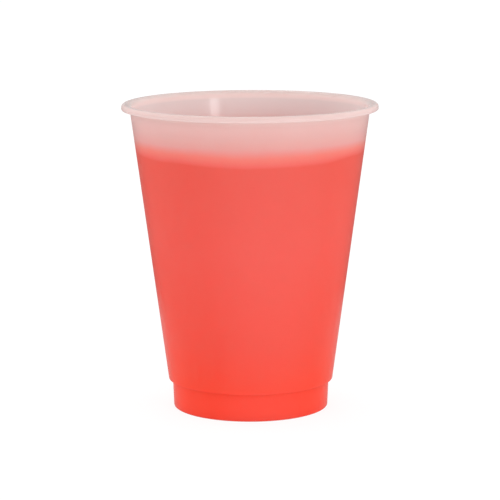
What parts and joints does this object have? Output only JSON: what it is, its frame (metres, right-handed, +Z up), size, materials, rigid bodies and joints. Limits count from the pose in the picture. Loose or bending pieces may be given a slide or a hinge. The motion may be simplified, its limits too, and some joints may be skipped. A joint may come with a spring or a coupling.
{
  "type": "drinking cup",
  "caption": "Tapered reusable drinking cup in frosted plastic, with a turned-down round lip, a stepped foot for stacking and a raised floor; cold turns its lower wall coral red.",
  "frame": {"origin": "middle of the face that the foot ring stands on, on the cup's axis", "axes": "+Z up the cup's axis, out of the open mouth; X and Y are equal, because the cup is round"},
  "size_m": [0.0954, 0.0954, 0.1145],
  "materials": {
    "frosted_plastic": "frosted satin moulded polypropylene, coral red below and pale pink at the top"
  },
  "bodies": {
    "root": {"cup": "frosted_plastic"}
  },
  "joints": []
}
